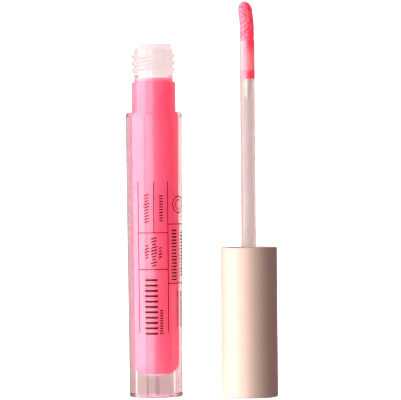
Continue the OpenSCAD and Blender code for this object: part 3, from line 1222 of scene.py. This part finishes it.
    def build(self) -> None:
        """Makes the rod, the applicator and the flock."""
        rod = lathe("wand_rod_clear", self.rod_outline(), self.axis, 96)
        place_piece(rod, Body.WAND, Slot.ROD, RodPlastic("rod_plastic"), "wand_rod")
        stem = lathe("applicator_sleeve", self.stem_outline(), self.axis, 96)
        sleeve = WetSleeve("wet_sleeve", low=self.rod[1], high=self.flock[0], axis_x=self.axis[0])
        place_piece(stem, Body.WAND, Slot.STEM, sleeve, "applicator_stem")
        coat = lathe("flock_coat", self.flock_relief(), self.axis, 120)
        self.lean_tip(coat)
        values = {"Clump Height": 0.11 * MM, "Clump Scale": 1500.0, "Density": 3.2e7, "Seed": 4,
                  "Fibre Length": 0.24 * MM, "Fibre Radius": 0.035 * MM, "Tilt": 0.6,
                  "Fibres": WetFlock("wet_flock").make()}
        flock = grown("flocked_tip", coat, self.flock_tree(values), values)
        place_piece(flock, Body.WAND, Slot.FLOCK, None, "flock_tip")


# --- the studio


@dataclass
class Studio:
    """Pale floor and backdrop, softboxes and the camera."""

    distance: float = 0.759
    swing: float = math.radians(10.0)
    eye_z: float = 0.0595
    aim: tuple[float, float, float] = (0.01366, 0.0, 0.0574)
    roll: float = math.radians(-0.52)
    lens: float = 233.5
    curve_r: float = 0.5
    back: float = 3.0
    wall_h: float = 3.0

    def paper(self) -> None:
        """A round floor that sweeps up into a backdrop on every side."""
        sweep = arc((self.back - self.curve_r, self.curve_r), self.curve_r, -90, 0, 16)
        floor = lathe("studio_paper", [(0.0, 0.0)] + sweep + [(self.back, self.wall_h)], around=96)
        floor.data.materials.append(StudioWhite("studio_white").make())
        floor.visible_diffuse = floor.visible_glossy = floor.visible_transmission = False
        floor.visible_shadow = False

    def softbox(self, name: str, azimuth: float, height: float, away: float, size: Point,
                power: float, colour: tuple[float, float, float] = (1.0, 1.0, 1.0)) -> None:
        """Adds an area light that faces the object.

        Args:
            name: the light's name.
            azimuth: degrees to the right of the camera's direction, seen from above.
            height: the light's height above the object's middle, in metres.
            away: horizontal distance.
            size: width and height of the light.
            power: radiant power in watts.
            colour: the light's colour.
        """
        data = bpy.data.lights.new(name, "AREA")
        data.shape, data.size, data.size_y = "RECTANGLE", *size
        data.energy, data.color = power, colour
        lamp = added(name, data)
        turn = -math.pi / 2 + self.swing + math.radians(azimuth)
        middle = Vector((self.aim[0], 0.0, self.aim[2]))
        lamp.location = middle + Vector((away * math.cos(turn), away * math.sin(turn), height))
        lamp.rotation_euler = (middle - lamp.location).to_track_quat("-Z", "Y").to_euler()
        lamp.visible_camera = False

    def lights(self) -> None:
        """A key and a fill in front, pink cards behind, and weak light from above and below."""
        pink = (1.0, 0.71, 0.72)
        self.softbox("key_left", -70.0, 0.0, 0.6, (0.66, 1.6), 8.0, (1.0, 0.98, 0.93))
        self.softbox("front_left", -19.0, 0.0, 1.0, (0.54, 1.8), 5.5)
        self.softbox("top_soft", 10.0, 0.8, 0.1, (0.6, 0.6), 0.6)
        self.softbox("rear_left", -120.0, 0.0, 0.8, (0.78, 1.6), 1.8, pink)
        self.softbox("rear_card", 180.0, 0.0, 0.8, (1.25, 1.6), 2.7, pink)
        self.softbox("rear_right", 120.0, 0.0, 0.8, (0.78, 1.6), 2.0, pink)
        self.softbox("floor_bounce", 0.0, -0.5, 0.02, (0.8, 0.8), 0.45, (1.0, 0.8, 0.86))
        world = bpy.data.worlds.new("studio_air")
        bpy.context.scene.world = world
        world.use_nodes = True
        graph = Graph(world.node_tree)
        world.node_tree.nodes.clear()
        shade = graph.one("ShaderNodeBackground", {"Color": (1, 0.72, 0.68, 1), "Strength": 0.06})
        graph.node("ShaderNodeOutputWorld", None, {0: shade})

    def camera(self) -> None:
        """A level telephoto view at half the object's height."""
        data = bpy.data.cameras.new("view")
        data.lens = self.lens
        data.sensor_width = 36.0
        data.clip_end = 10.0
        eye = added("view", data)
        aim = Vector(self.aim)
        turn = -math.pi / 2 + self.swing
        eye.location = Vector((aim.x + self.distance * math.cos(turn),
                               self.distance * math.sin(turn), self.eye_z))
        look = (aim - eye.location).to_track_quat("-Z", "Y").to_matrix().to_4x4()
        eye.rotation_euler = (look @ Matrix.Rotation(self.roll, 4, "Z")).to_euler()
        bpy.context.scene.camera = eye

    def build(self) -> None:
        """Sets up the camera, paper, lights and colour transform."""
        self.camera()
        self.paper()
        self.lights()
        bpy.context.scene.view_settings.view_transform = "Standard"
        bpy.context.scene.view_settings.look = "High Contrast"


def main() -> None:
    """Builds the studio, then the bottle, its print, the cap and the wand."""
    logging.basicConfig(level=logging.INFO, format="%(name)s: %(message)s")
    Studio().build()
    bottle = Bottle()
    bottle.build()
    Print(bottle).build()
    Cap().build()
    Wand().build()


if __name__ == "__main__":
    main()
